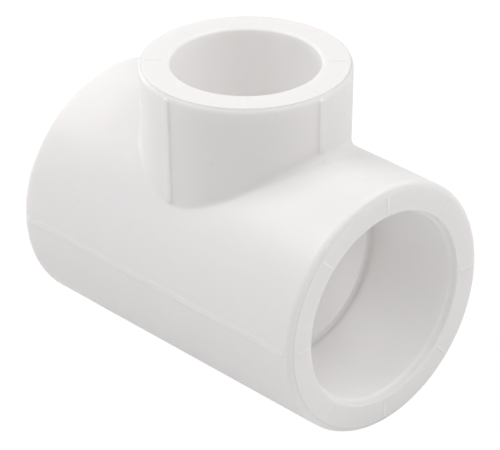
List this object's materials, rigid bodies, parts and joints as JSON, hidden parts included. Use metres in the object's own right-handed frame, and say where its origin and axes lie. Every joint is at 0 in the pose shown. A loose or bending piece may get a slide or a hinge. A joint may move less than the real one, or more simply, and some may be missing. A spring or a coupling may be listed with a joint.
{
  "type": "reducing pipe tee",
  "caption": "Reducing tee for socket-fused plastic pipe: a straight run with a large socket at each end and a smaller socket on the branch.",
  "frame": {"origin": "where the axis of the run crosses the axis of the branch, inside the waterway", "axes": "+X along the run axis out of run socket a, +Z along the branch axis out of the branch socket, +Y completes the right-handed frame"},
  "size_m": [0.0628, 0.0422, 0.0531],
  "materials": {
    "moulding": "satin, as moulded"
  },
  "bodies": {
    "root": {"tee_body": "moulding"}
  },
  "joints": []
}
